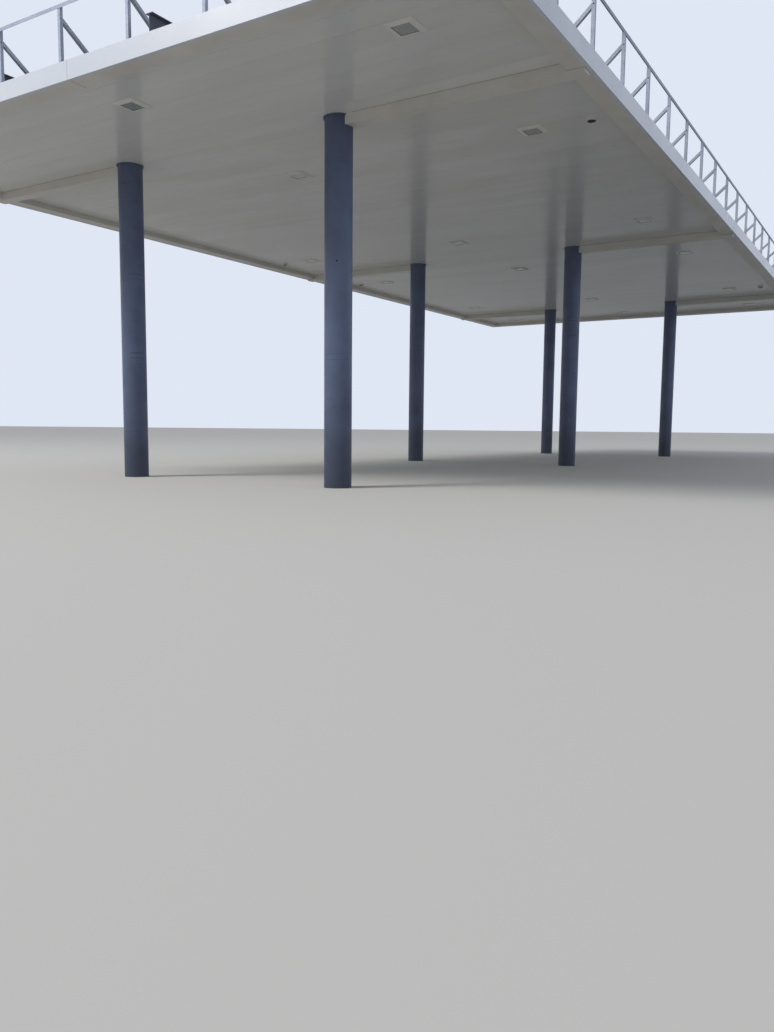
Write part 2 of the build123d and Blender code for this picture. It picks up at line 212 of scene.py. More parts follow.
def addNode(tree, kind, settings, inputs):
    # settings are the node's own properties; an input is a value, or another node's output to link
    node = tree.nodes.new("ShaderNode" + kind)
    for name, value in settings.items():
        setattr(node, name, value)
    for name, value in inputs.items():
        if isinstance(value, bpy.types.NodeSocket):
            tree.links.new(value, node.inputs[name])
        else:
            node.inputs[name].default_value = value
    return node


def startMaterial(name, **values):
    # a Principled material with even values on its own sockets, and the piece's metres as coordinates
    material = bpy.data.materials.new(name)
    material.use_nodes = True
    tree = material.node_tree
    shader = tree.nodes["Principled BSDF"]
    for socket, value in values.items():
        shader.inputs[socket.replace("_", " ")].default_value = value
    place = addNode(tree, "TexCoord", {}, {}).outputs["Object"]
    return material, tree, shader, place


noiseEnds = (0.3, 0.7)     # nearly all of a cloud noise's values lie between these


def blended(tree, amount, low, high, ends=(0.0, 1.0)):
    # low to high as amount goes between the ends; each of the two is a hex colour, a number or another
    # node's output. The Mix node's colours are its inputs 6 and 7 and output 2, its numbers inputs 2 and 3
    # and output 0
    spread = addNode(tree, "MapRange", {}, {"Value": amount, "From Min": ends[0], "From Max": ends[1]})
    colours = any(isinstance(end, str) or getattr(end, "type", "") == "RGBA" for end in (low, high))
    mix = addNode(tree, "Mix", {"data_type": "RGBA" if colours else "FLOAT"},
                  {"Factor": spread.outputs["Result"]})
    first = 6 if colours else 2
    for socket, end in zip(mix.inputs[first:first + 2], (low, high)):
        if isinstance(end, bpy.types.NodeSocket):
            tree.links.new(end, socket)
        else:
            socket.default_value = hexColour(end) if colours else end
    return mix.outputs[2 if colours else 0]


sheetLook = {"streak": (0.35, 1.4, 1.0), "streakDetail": 5.0, "streakRoughness": 0.6, "glossEnds": (0.3, 0.8),
             "swellDetail": 1.0, "edge": 0.0005}


def coilCoatedSteel(name, spec):
    # coil-coated steel sheet: polyester paint baked on in the mill, so it is even and glossy. Each pan lies
    # a hair tilted, bows a little between its standing legs and waves along its length, which bends what it
    # mirrors. The side turned up has only the thin dull backing coat
    look = sheetLook
    material, tree, shader, place = startMaterial(name, IOR=1.5)
    axes = addNode(tree, "SeparateXYZ", {}, {"Vector": place}).outputs
    panNumber = addNode(tree, "Math", {"operation": "MULTIPLY"},
                        {0: axes["Y"], 1: 1 / spec["pitch"]}).outputs[0]
    whole = addNode(tree, "Math", {"operation": "FLOOR"}, {0: panNumber}).outputs[0]
    within = addNode(tree, "Math", {"operation": "FRACT"}, {0: panNumber}).outputs[0]
    chance = addNode(tree, "TexWhiteNoise", {"noise_dimensions": "1D"}, {"W": whole}).outputs["Value"]
    streak = addNode(tree, "Mapping", {}, {"Vector": place, "Scale": look["streak"]}).outputs["Vector"]
    cloud = addNode(tree, "TexNoise", {}, {"Vector": streak, "Scale": 1.0, "Detail": look["streakDetail"],
                                           "Roughness": look["streakRoughness"]}).outputs["Fac"]
    # the pans' colour steps at random from pan to pan, partly their own tone and partly painted sheen
    # standing in for the streaky reflections; long streaks of dust lie over it, and the roughness follows
    # both
    dustAndSheen = addNode(tree, "Math", {"operation": "MULTIPLY_ADD"},
                     {0: chance, 1: spec["panToneAndSheen"], 2: cloud}).outputs[0]
    face = blended(tree, dustAndSheen, spec["film"], spec["paint"], noiseEnds)
    backing = blended(tree, cloud, spec["back"][0], spec["back"][1], noiseEnds)
    behind = addNode(tree, "MapRange", {}, {"Value": axes["Z"], "From Min": spec["backFrom"],
                                            "From Max": spec["backFrom"] + look["edge"]}).outputs["Result"]
    tree.links.new(blended(tree, behind, face, backing), shader.inputs["Base Color"])
    gloss = blended(tree, dustAndSheen, spec["gloss"][1], spec["gloss"][0], look["glossEnds"])
    tree.links.new(blended(tree, behind, gloss, spec["backGloss"]), shader.inputs["Roughness"])
    waves = (1 / spec["wave"][0], 1 / spec["wave"][1], 1.0)
    wave = addNode(tree, "Mapping", {}, {"Vector": place, "Scale": waves}).outputs["Vector"]
    swell = addNode(tree, "TexNoise", {}, {"Vector": wave, "Scale": 1.0,
                                           "Detail": look["swellDetail"]}).outputs["Fac"]
    buckled = addNode(tree, "Bump", {}, {"Height": swell, "Distance": spec["swell"], "Strength": 1.0})
    phase = addNode(tree, "Math", {"operation": "MULTIPLY"}, {0: panNumber, 1: 2 * math.pi}).outputs[0]
    bow = addNode(tree, "Math", {"operation": "COSINE"}, {0: phase}).outputs[0]
    crowned = addNode(tree, "Bump", {}, {"Height": bow, "Distance": spec["bow"], "Strength": 1.0,
                                         "Normal": buckled.outputs["Normal"]})
    lean = addNode(tree, "Math", {"operation": "SUBTRACT"}, {0: chance, 1: 0.5}).outputs[0]
    slope = addNode(tree, "Math", {"operation": "MULTIPLY"}, {0: lean, 1: within}).outputs[0]
    tilted = addNode(tree, "Bump", {}, {"Height": slope, "Distance": spec["tilt"], "Strength": 1.0,
                                        "Normal": crowned.outputs["Normal"]})
    tree.links.new(tilted.outputs["Normal"], shader.inputs["Normal"])
    return material


def slingLines(tree, place, broken, spec):
    # where a lifting sling lay round a pipe, its two edges left thin dark lines in the paint: 1 where the
    # height is half a sling's width off the mark's middle, within its reach, and where the noise is high
    # enough
    height = addNode(tree, "SeparateXYZ", {}, {"Vector": place}).outputs["Z"]
    wornFrom, wornTo = spec["wornEnds"]
    worn = addNode(tree, "MapRange", {}, {"Value": broken, "From Min": wornFrom, "From Max": wornTo,
                                          "To Max": spec["most"]}).outputs["Result"]
    marks = None
    for x, y, z, turnedBy in spec["marks"]:
        angle = math.radians(turnedBy)
        middle = (x + spec["radius"] * math.sin(angle), y - spec["radius"] * math.cos(angle), z)
        away = addNode(tree, "VectorMath", {"operation": "DISTANCE"}, {0: place, 1: middle}).outputs["Value"]
        near = addNode(tree, "MapRange", {}, {"Value": away, "From Min": spec["reach"],
                                              "From Max": spec["reach"] * spec["fadeFrom"]}).outputs["Result"]
        offset = addNode(tree, "Math", {"operation": "SUBTRACT"}, {0: height, 1: z}).outputs[0]
        offset = addNode(tree, "Math", {"operation": "ABSOLUTE"}, {0: offset}).outputs[0]
        line = addNode(tree, "Math", {"operation": "COMPARE"},
                       {0: offset, 1: spec["width"] / 2, 2: spec["line"] / 2}).outputs[0]
        mark = addNode(tree, "Math", {"operation": "MULTIPLY"}, {0: line, 1: near}).outputs[0]
        if marks is None:
            marks = mark
        else:
            marks = addNode(tree, "Math", {"operation": "MAXIMUM"}, {0: marks, 1: mark}).outputs[0]
    return addNode(tree, "Math", {"operation": "MULTIPLY"}, {0: marks, 1: worn}).outputs[0]


# the ragged edge and the full depth of the painted shade at a column's foot are set here
filmLook = {"cloudDetail": 6.0, "cloudRoughness": 0.65, "paintedShadeRagged": 0.7, "paintedShadeFull": 0.2,
            "scuffDetail": 3.0, "skinDetail": 2.0}


def sprayedPaint(name, spec):
    # air-dried or powder paint over steel: a low-gloss film with a fine pebbled skin, slightly uneven in
    # shade. Where the spec darkens the foot, that is painted shade, deepening with a ragged edge from the top
    # of its reach down to the ground; handling left a few dark rubbed dashes, wider than they are high, and
    # the lines of the slings
    look = filmLook
    material, tree, shader, place = startMaterial(name, IOR=1.5)
    cloud = addNode(tree, "TexNoise", {}, {"Vector": place, "Scale": 1 / spec["patch"],
                                           "Detail": look["cloudDetail"],
                                           "Roughness": look["cloudRoughness"]}).outputs["Fac"]
    colour = blended(tree, cloud, spec["shade"], spec["paint"], noiseEnds)
    # painted shade: the paint darkens towards the foot with a ragged edge; the rubbed dashes and sling lines
    # are real marks
    if "paintedFootShade" in spec:
        height = addNode(tree, "SeparateXYZ", {}, {"Vector": place}).outputs["Z"]
        ragged = addNode(tree, "Math", {"operation": "MULTIPLY_ADD"},
                         {0: cloud, 1: look["paintedShadeRagged"], 2: height}).outputs[0]
        low = addNode(tree, "MapRange", {"interpolation_type": "SMOOTHSTEP"},
                      {"Value": ragged, "From Min": spec["paintedShadeTop"], "From Max": look["paintedShadeFull"],
                       "To Max": spec["paintedShadeMost"]}).outputs["Result"]
        colour = blended(tree, low, colour, spec["paintedFootShade"])
        lying = addNode(tree, "Mapping", {}, {"Vector": place, "Scale": spec["scuffScale"]}).outputs["Vector"]
        rubbed = addNode(tree, "TexNoise", {}, {"Vector": lying, "Scale": 1.0,
                                                "Detail": look["scuffDetail"]}).outputs["Fac"]
        colour = blended(tree, rubbed, colour, spec["scuff"], spec["scuffEnds"])
        colour = blended(tree, slingLines(tree, place, rubbed, spec["slings"]), colour, spec["scuff"])
    tree.links.new(colour, shader.inputs["Base Color"])
    gloss = blended(tree, cloud, spec["gloss"][1], spec["gloss"][0], noiseEnds)
    tree.links.new(gloss, shader.inputs["Roughness"])
    skin = addNode(tree, "TexNoise", {}, {"Vector": place, "Scale": 1 / spec["pebble"],
                                          "Detail": look["skinDetail"]}).outputs["Fac"]
    bump = addNode(tree, "Bump", {}, {"Height": skin, "Distance": spec["pebbleHeight"], "Strength": 1.0})
    tree.links.new(bump.outputs["Normal"], shader.inputs["Normal"])
    return material


zincLook = {"cloudScale": 2.2, "cloudDetail": 4.0, "shadeEnds": (0.45, 0.95), "glossEnds": (0.4, 1.0)}


def galvanisedSteel(name, spec):
    # zinc on steel, hot-dipped or plated: crystals of the spec's size, each a little lighter or darker and
    # more or less matt, over a broad cloud of shade
    look = zincLook
    material, tree, shader, place = startMaterial(name, Metallic=spec["metal"])
    crystal = addNode(tree, "TexVoronoi", {}, {"Vector": place, "Scale": 1 / spec["crystal"],
                                               "Randomness": 1.0})
    shade = addNode(tree, "SeparateColor", {}, {"Color": crystal.outputs["Color"]}).outputs["Red"]
    cloud = addNode(tree, "TexNoise", {}, {"Vector": place, "Scale": look["cloudScale"],
                                           "Detail": look["cloudDetail"]}).outputs["Fac"]
    both = addNode(tree, "Math", {"operation": "MULTIPLY_ADD"},
                   {0: shade, 1: spec["contrast"], 2: cloud}).outputs[0]
    colour = blended(tree, both, spec["dark"], spec["light"], look["shadeEnds"])
    tree.links.new(colour, shader.inputs["Base Color"])
    gloss = blended(tree, both, spec["gloss"][1], spec["gloss"][0], look["glossEnds"])
    tree.links.new(gloss, shader.inputs["Roughness"])
    return material


mouldedLook = {"cloudDetail": 3.0, "skinDetail": 2.0}


def softGoods(name, spec, **values):
    # moulded plastic, glass, rubber or cured sealant: one colour all through, with a faint cloud and a fine
    # skin
    look = mouldedLook
    material, tree, shader, place = startMaterial(name, **values)
    cloud = addNode(tree, "TexNoise", {}, {"Vector": place, "Scale": 1 / spec["patch"],
                                           "Detail": look["cloudDetail"]}).outputs["Fac"]
    tree.links.new(blended(tree, cloud, spec["dark"], spec["light"], noiseEnds), shader.inputs["Base Color"])
    gloss = blended(tree, cloud, spec["gloss"][1], spec["gloss"][0], noiseEnds)
    tree.links.new(gloss, shader.inputs["Roughness"])
    skin = addNode(tree, "TexNoise", {}, {"Vector": place, "Scale": 1 / spec["grain"],
                                          "Detail": look["skinDetail"]}).outputs["Fac"]
    bump = addNode(tree, "Bump", {}, {"Height": skin, "Distance": spec["grainHeight"], "Strength": 1.0})
    tree.links.new(bump.outputs["Normal"], shader.inputs["Normal"])
    return material


# colours are sRGB; patch, crystal, pebble and grain are in metres, gloss is the least and the most
# roughness
finishes = {
    # polyester gloss white with a thin film of dust, on pans of 0.4 m: it mirrors the columns softly; the
    # step in shade from pan to pan is partly the coil's own tone and partly painted sheen, for the streaky
    # reflections
    "deck": coilCoatedSteel("coilCoatedDeckWhite", {
        "paint": "#e4e4e2", "film": "#d9d8d3", "gloss": (0.13, 0.23), "back": ("#aba9a3", "#bab8b2"),
        "backGloss": 0.6, "backFrom": 5.2318, "wave": (1.5, 0.45), "swell": 0.0008, "pitch": 0.4064,
        "bow": 0.0003, "tilt": 0.0026, "panToneAndSheen": 0.14}),
    # the same colour on folded gutters and boxes, sprayed in the shop and a little duller
    "trim": sprayedPaint("satinWhiteFoldedSheet", {
        "paint": "#e2e0d9", "shade": "#d6d3cb", "patch": 0.7, "gloss": (0.28, 0.4), "pebble": 0.01,
        "pebbleHeight": 0.00005}),
    # pearl grey factory coat on aluminium, smooth enough to take up the sky at a low angle
    "band": sprayedPaint("pearlSilverCoatedAluminium", {
        "paint": "#e0e4ea", "shade": "#d6dbe2", "patch": 0.9, "gloss": (0.2, 0.3), "pebble": 0.008,
        "pebbleHeight": 0.00003}),
    # enamel sprayed on pipe, its orange peel drawn at 12 mm so that it shows
    "column": sprayedPaint("slateBlueColumnPaint", {
        "paint": "#606c88", "shade": "#545f79", "patch": 0.5, "gloss": (0.34, 0.5), "pebble": 0.012,
        # the darkening towards the foot is painted shade
        "pebbleHeight": 0.00012, "paintedFootShade": "#32363f", "paintedShadeTop": 2.4, "paintedShadeMost": 0.75, "scuff": "#353b4a",
        "scuffScale": (2.6, 2.6, 26.0), "scuffEnds": (0.68, 0.8),
        "slings": {   # x and y of the column, height, degrees round from the front to the right
            "marks": ((-2.1465, -9.7536, 3.384, 64.6), (-2.1465, -9.7536, 2.073, 64.6),
                      (2.1465, -9.7536, 1.894, 14.3), (2.1465, 0.0, 3.53, 35.0)),
            "radius": 0.2032, "width": 0.08, "line": 0.012, "reach": 0.17, "fadeFrom": 0.6,
            "wornEnds": (0.3, 0.6), "most": 0.75}}),
    # mat shop primer sprayed on the rolled steel, grey with a little blue in it
    "primer": sprayedPaint("slateShopPrimer", {
        "paint": "#6b6f80", "shade": "#5d6171", "patch": 0.35, "gloss": (0.5, 0.7), "pebble": 0.006,
        "pebbleHeight": 0.0001}),
    # hot-dip zinc, dulled by a season outside, with its crystals just seen
    "zinc": galvanisedSteel("galvanisedSteel", {
        "light": "#b7bfcb", "dark": "#a1a9b6", "crystal": 0.015, "contrast": 0.22, "gloss": (0.6, 0.72),
        "metal": 0.7}),
    # bright zinc plate on bolts and screws, which glints
    "plated": galvanisedSteel("zincPlatedBolts", {
        "light": "#c3c6c8", "dark": "#9fa3a8", "crystal": 0.004, "contrast": 0.4, "gloss": (0.28, 0.42),
        "metal": 1.0}),
    # powder coat on the cast light frames, warmer and whiter than the ceiling
    "frameWhite": sprayedPaint("whitePowderCoat", {
        "paint": "#eeece6", "shade": "#e6e3db", "patch": 0.4, "gloss": (0.3, 0.4), "pebble": 0.004,
        "pebbleHeight": 0.00005}),
    # pressed grey-green glass, frosted on its inner face, so that it glows evenly and hides the diodes by
    # day
    "glass": softGoods("frostedPressedGlass", {
        "dark": "#b6bcb8", "light": "#c1c7c3", "patch": 0.06, "gloss": (0.06, 0.12), "grain": 0.012,
        "grainHeight": 0.00001}, IOR=1.52, Transmission_Weight=0.15, Coat_Weight=1.0, Coat_Roughness=0.03),
    # white solder mask on the circuit board, satin
    "ledBoard": softGoods("solderMaskWhite", {
        "dark": "#c9cac4", "light": "#d8d8d2", "patch": 0.03, "gloss": (0.35, 0.5), "grain": 0.004,
        "grainHeight": 0.00004}, IOR=1.5),
    # yellow resin over the diodes, glossy from its mould
    "phosphor": softGoods("phosphorResin", {
        "dark": "#b39a2e", "light": "#c9b040", "patch": 0.01, "gloss": (0.15, 0.25), "grain": 0.002,
        "grainHeight": 0.00002}, IOR=1.5),
    # black extruded rubber, dull all over
    "rubber": softGoods("extrudedRubber", {
        "dark": "#151617", "light": "#202122", "patch": 0.05, "gloss": (0.5, 0.65), "grain": 0.003,
        "grainHeight": 0.00005}, IOR=1.5),
    # grey silicone tooled by hand, a little lumpy
    "sealant": softGoods("curedGreySealant", {
        "dark": "#a3a198", "light": "#b1afa6", "patch": 0.04, "gloss": (0.4, 0.55), "grain": 0.008,
        "grainHeight": 0.0002}, IOR=1.41),
    # moulded smoked plastic, so dark and glossy that it looks black with a clear mirror
    "smoked": softGoods("smokedPolycarbonate", {
        "dark": "#1d1e20", "light": "#242628", "patch": 0.05, "gloss": (0.06, 0.12), "grain": 0.02,
        "grainHeight": 0.00001}, IOR=1.58, Coat_Weight=0.5, Coat_Roughness=0.05),
    # pale ABS with the fine texture of its mould
    "housing": softGoods("mouldedAbs", {
        "dark": "#d3d2cb", "light": "#dedcd6", "patch": 0.08, "gloss": (0.35, 0.5), "grain": 0.002,
        "grainHeight": 0.00004}, IOR=1.52),
}
print("materials made:", len(finishes))

wears = {
    "column_left": "column", "column_right": "column", "cross_beam": "primer", "purlin": "primer",
    "column_cap": "primer", "column_collars": "column", "deck_pans": "deck", "gutter": "trim",
    "end_trough": "trim", "drain_box": "trim", "fascia_band": "band", "fascia_top": "zinc",
    "fascia_posts": "zinc", "fascia_braces": "zinc", "fascia_corner": "zinc", "light_frames": "frameWhite",
    "light_lenses": "glass", "light_housings": "zinc", "dome_camera_bases": "housing",
    "dome_camera_domes": "smoked",
}
for name, node in nodes.items():
    finish = next(wears[key] for key in wears if name.startswith(key))
    for holder in node.material_slots:
        holder.material = finishes[finish]


# where things stand, in metres, as the frame has them
canopy = {
    "halfWidth": 5.8125, "halfLength": 12.7375, "columnRow": 2.1465, "columnLine": 9.7536,
    "columnRadius": 0.2032,
    "purlins": (-4.56, -1.52, 1.52, 4.56), "panPitch": 0.4064, "panJoints": 30, "deckUnderside": 5.231,
    "lightRow": 4.32, "lightStep": 1.8288,
    "camera": ((5.2, -7.9248), (5.2, 7.9248), (-5.2, -1.8288), (-5.2, 1.8288)),
}
columnRows = (-canopy["columnRow"], canopy["columnRow"])
beamLines = (-canopy["columnLine"], 0.0, canopy["columnLine"])
columnPlaces = grid(columnRows, beamLines)
jointLines = np.arange(-canopy["panJoints"], canopy["panJoints"] + 1) * canopy["panPitch"]
row, line, step = grid((-canopy["lightRow"], 0, canopy["lightRow"]), beamLines,
                       (-canopy["lightStep"], canopy["lightStep"])).T
lightPlaces = np.stack([row, line + step], -1)


def around(centres, offsets, z):
    # each centre (x, y) with each offset (dx, dy), at the height z
    flat = (centres[:, None] + np.asarray(offsets, float)[None]).reshape(-1, 2)
    return np.column_stack([flat, np.full(len(flat), z)])


# deck
interlock = {"halfWidth": 0.0013, "recess": 0.0011, "top": 0.0115, "reach": 5.58, "columnClear": 0.2095,
             "onLine": 0.01}   # a joint this near to a line of columns runs through them


def panInterlocks(spec):
    # where two pans meet, the lip of one lies just inside the joint: a narrow bar along X at each joint,
    # broken round the columns
    z, reach = canopy["deckUnderside"], spec["reach"]
    section = oblong(-spec["halfWidth"], spec["halfWidth"], spec["recess"], spec["top"])
    inner = canopy["columnRow"] - spec["columnClear"]
    outer = canopy["columnRow"] + spec["columnClear"]
    full, broken = [(-reach, reach)], [(-reach, -outer), (-inner, inner), (outer, reach)]
    bars = []
    for y in jointLines:
        throughColumns = np.abs(np.array(beamLines) - y).min() < spec["onLine"]
        runs = broken if throughColumns else full
        bars += [carried(section, [(x0, y, z), (x1, y, z)], (0, 0, 1)) for x0, x1 in runs]
    meshPiece("panInterlocks", joined(bars), finishes["deck"])


panScrew = {"radius": 0.007, "height": 0.0045, "flangeTop": 5.3181, "fromWeb": 0.033, "fromJoint": 0.022,
            "beamClear": 0.12}


def panScrews(spec):
    # self-drilling screws through the foot of each purlin into the pans' hems, two at each joint
    rows = jointLines + spec["fromJoint"]
    clear = np.abs(rows[:, None] - np.array(beamLines)).min(1) > spec["beamClear"]
    purlin, side, y = grid(canopy["purlins"], (-spec["fromWeb"], spec["fromWeb"]), rows[clear]).T
    places = np.column_stack([purlin + side, y, np.full(len(y), spec["flangeTop"])])
    meshPiece("panScrews", repeated(roundHead(spec["radius"], spec["height"]), places), finishes["plated"])


# steel above the deck. A head is its size across the flats, height, washer radius and washer thickness
capBolt = {"head": (0.036, 0.019, 0.022, 0.004), "rod": 0.012, "proud": 0.016, "besideColumn": 0.243,
           "besideWeb": 0.070, "flangeTop": 5.3471, "plateBottom": 5.3073}
cleatBolt = {"head": (0.024, 0.013, 0.015, 0.003), "rod": 0.008, "proud": 0.009, "middle": 5.46365,
             "rows": (-0.06, 0.0, 0.06), "legFace": 0.0116, "webFace": -0.0033, "alongPurlin": 0.0498,
             "alongBeam": 0.0486, "beamFace": 0.0128}


def beamBolts(cap, cleat):
    # four bolts hold each beam to its cap plate; three go through each leg of each angle cleat
    offsets = grid((-cap["besideColumn"], cap["besideColumn"]), (-cap["besideWeb"], cap["besideWeb"]))
    heads = repeated(hexHead(*cap["head"]), around(columnPlaces, offsets, cap["flangeTop"]))
    nuts = repeated(boltEnd(*cap["head"], cap["rod"], cap["proud"]),
                    around(columnPlaces, offsets, cap["plateBottom"]), (0, 0, -1))
    meshPiece("capPlateBolts", joined([heads, nuts]), finishes["plated"])
    x, line, side, row = grid(canopy["purlins"], beamLines, (-1, 1), cleat["rows"]).T
    z = cleat["middle"] + row
    y = line + side * cleat["alongPurlin"]
    head, nut = hexHead(*cleat["head"]), boltEnd(*cleat["head"], cleat["rod"], cleat["proud"])
    onPurlin = repeated(head, np.column_stack([x + cleat["legFace"], y, z]), (1, 0, 0))
    behindPurlin = repeated(nut, np.column_stack([x + cleat["webFace"], y, z]), (-1, 0, 0))
    places = np.column_stack([x + cleat["alongBeam"], line + side * cleat["beamFace"], z])
    onBeam = repeated(head, places, sideways(side))
    meshPiece("cleatBolts", joined([onPurlin, behindPurlin, onBeam]), finishes["plated"])


weld = {"leg": 0.009, "throat": 0.55, "stiffener": 0.150, "halfThick": 0.006, "webHalf": 0.0045,
        "flangeEdge": 0.095, "low": 5.3471, "high": 5.7751}


def stiffenerWelds(spec):
    # fillet beads in the corners between each stiffener and the beam: a kite section carried up the web and
    # out along the two flanges
    leg, web, edge, low, high = (spec[k] for k in ("leg", "webHalf", "flangeEdge", "low", "high"))
    middle = leg * spec["throat"]
    kite = np.array([(0, 0), (leg, 0), (middle, middle), (0, leg)])
    beads = []
    for sx, sy in grid((-1, 1), (-1, 1)):
        for start, end, up in (((0, sy * web, low), (0, sy * web, high), (0, sy, 0)),
                               ((0, sy * web, low), (0, sy * edge, low), (0, 0, 1)),
                               ((0, sy * web, high), (0, sy * edge, high), (0, 0, -1))):
            across = np.cross(up, np.subtract(end, start))[0]
            section = kite if across * sx > 0 else (kite * (-1, 1))[::-1]
            points, faces = carried(section, [start, end], up)
            beads.append((points + (sx * spec["halfThick"], 0, 0), faces))
    row, side, line = grid(columnRows, (-spec["stiffener"], spec["stiffener"]), beamLines).T
    places = np.column_stack([row + side, line, 0 * row])
    points, faces = joined(beads)
    moved = (places[:, None] + points[None]).reshape(-1, 3)
    faces = (faces[None] + np.arange(len(places))[:, None, None] * len(points)).reshape(-1, 4)
    meshPiece("stiffenerWelds", (moved, faces), finishes["primer"])


# fascia frame. A side is the way out, the way the posts' flanges run, half the canopy that way, the number
# of posts on each side of the middle, and how far all posts stand past their marks
fasciaSides = {
    "right": ((1, 0, 0), (0, 1, 0), canopy["halfWidth"], 10, 0.033),
    "left": ((-1, 0, 0), (0, -1, 0), canopy["halfWidth"], 10, 0.033),
    "front": ((0, -1, 0), (-1, 0, 0), canopy["halfLength"], 4, -0.033),
    "rear": ((0, 1, 0), (1, 0, 0), canopy["halfLength"], 4, -0.033),
}
fasciaScrew = {"head": (0.008, 0.0055, 0.0065, 0.0012), "postPitch": 1.2192, "inward": 0.0067,
               "onFlange": 0.027, "heights": (5.19, 5.33, 6.0125, 6.0305), "corner": 0.030}
braceBolt = {"head": (0.018, 0.0095, 0.0115, 0.0025), "rod": 0.006, "proud": 0.007, "inward": 0.028,
             "height": 5.889, "webFace": 0.0067}


def fasciaFixings(screw, bolt):
    # screws from inside through each post's flange into the band and the rail, and one bolt through each
    # brace
    screws, heads, nuts, inwards, along, back = [], [], [], [], [], []
    for out, way, half, count, past in fasciaSides.values():
        out, way = np.array(out, float), np.array(way, float)
        stations = np.arange(-count, count + 1) * screw["postPitch"] + past
        for station, z in grid(stations, screw["heights"]):
            screws.append(out * (half - screw["inward"]) + way * (station + screw["onFlange"]) + (0, 0, z))
            inwards.append(-out)
        for station in stations:
            middle = out * (half - bolt["inward"]) + way * station + (0, 0, bolt["height"])
            heads.append(middle + way * bolt["webFace"])
            nuts.append(middle)
            along.append(way)
            back.append(-way)
    nearX, nearY = canopy["halfWidth"] - screw["inward"], canopy["halfLength"] - screw["inward"]
    for sx, sy, z in grid((-1, 1), (-1, 1), screw["heights"]):
        screws.append((sx * nearX, sy * (nearY - screw["corner"]), z))
        screws.append((sx * (nearX - screw["corner"]), sy * nearY, z))
        inwards += [(-sx, 0, 0), (0, -sy, 0)]
    meshPiece("fasciaScrews", repeated(hexHead(*screw["head"]), screws, inwards), finishes["plated"])
    braceShape = joined([repeated(hexHead(*bolt["head"]), heads, along),
                         repeated(boltEnd(*bolt["head"], bolt["rod"], bolt["proud"]), nuts, back)])
    meshPiece("braceBolts", braceShape, finishes["plated"])


# gutters, drain boxes and collars
lipScrew = {"radius": 0.0055, "height": 0.003, "lipZ": 5.2277, "gutterX": 5.5145, "troughY": 12.4395,
            "troughStep": 0.6096, "troughCount": 8}
sleeveScrew = {"radius": 0.005, "height": 0.003, "x": 2.418, "side": 0.103, "heights": (5.125, 5.195)}


def trimScrews(lip, sleeve):
    # painted pan heads under the gutter lips, one at each pan, and two on each side of each drain sleeve
    middles = jointLines[:-1] + canopy["panPitch"] / 2
    sides = grid((-lip["gutterX"], lip["gutterX"]), middles, (lip["lipZ"],))
    troughs = np.arange(-lip["troughCount"], lip["troughCount"] + 1) * lip["troughStep"]
    ends = grid(troughs, (-lip["troughY"], lip["troughY"]), (lip["lipZ"],))
    under = repeated(roundHead(lip["radius"], lip["height"]), np.vstack([sides, ends]), (0, 0, -1))
    row, line, side, z = grid((-sleeve["x"], sleeve["x"]), beamLines, (-1, 1), sleeve["heights"]).T
    places = np.column_stack([row, line + side * sleeve["side"], z])
    beside = repeated(roundHead(sleeve["radius"], sleeve["height"]), places, sideways(side))
    meshPiece("trimScrews", joined([under, beside]), finishes["trim"])


sealing = {"top": 5.2307, "depth": 0.004, "proud": 0.003, "from": 2.4397, "to": 5.50, "side": 0.100,
           "ring": (0.2205, 0.2245), "ringDepth": 0.004, "ringSlope": 0.002, "ringSides": 48}
troughSeal = {"x": 0.142, "halfGap": 0.0022, "thick": 0.0018, "inner": 12.4525, "outer": 12.689,
              "low": 5.1343, "high": 5.2275}


def sealantBeads(spec, trough):
    # grey beads along the top edges of each drain box, round each collar, and in the joint of each end
    # trough: an oblong section carried along each run, and a sloping one turned round each column
    beads = []
    for row, line, side in grid((-1, 1), beamLines, (-1, 1)):
        y = line + side * spec["side"]
        u = (0, spec["proud"]) if side > 0 else (-spec["proud"], 0)
        route = [(x, y, spec["top"]) for x in sorted((row * spec["from"], row * spec["to"]))]
        beads.append(carried(oblong(*u, -spec["depth"], 0), route, (0, 0, 1)))
    r0, r1 = spec["ring"]
    z, foot = spec["top"], spec["top"] - spec["ringDepth"]
    points, faces = turned([(r1 - spec["ringSlope"], foot), (r1, z), (r0, z), (r0, foot)], spec["ringSides"],
                           closed=True)
    beads += [(points + (x, y, 0), faces) for x, y in columnPlaces]
    thick = trough["thick"]
    for end in (-1, 1):
        x, inner, low = -end * trough["x"], end * (trough["inner"] - thick), trough["low"] - thick
        route = [(x, inner, trough["high"]), (x, inner, low), (x, end * trough["outer"], low)]
        u = (0, thick) if end < 0 else (-thick, 0)
        beads.append(carried(oblong(*u, -trough["halfGap"], trough["halfGap"]), route, (1, 0, 0)))
    meshPiece("sealantBeads", joined(beads), finishes["sealant"])


# lights
light = {"opening": 0.1166, "gasket": 0.005, "gasketZ": (5.2078, 5.2098), "gasketLip": 0.0008,
         "boardHalf": 0.120, "boardZ": (5.2620, 5.2640),
         "reflector": [(0.142, 5.234), (0.1215, 5.2645), (0.1195, 5.2645), (0.140, 5.234)],
         "diodes": 5, "diodePitch": 0.040, "diode": (0.009, 0.006), "screw": (0.0035, 0.0022),
         "screwAt": 0.124, "bezelZ": 5.2067, "lidZ": 5.3712, "lidScrewAt": 0.13}


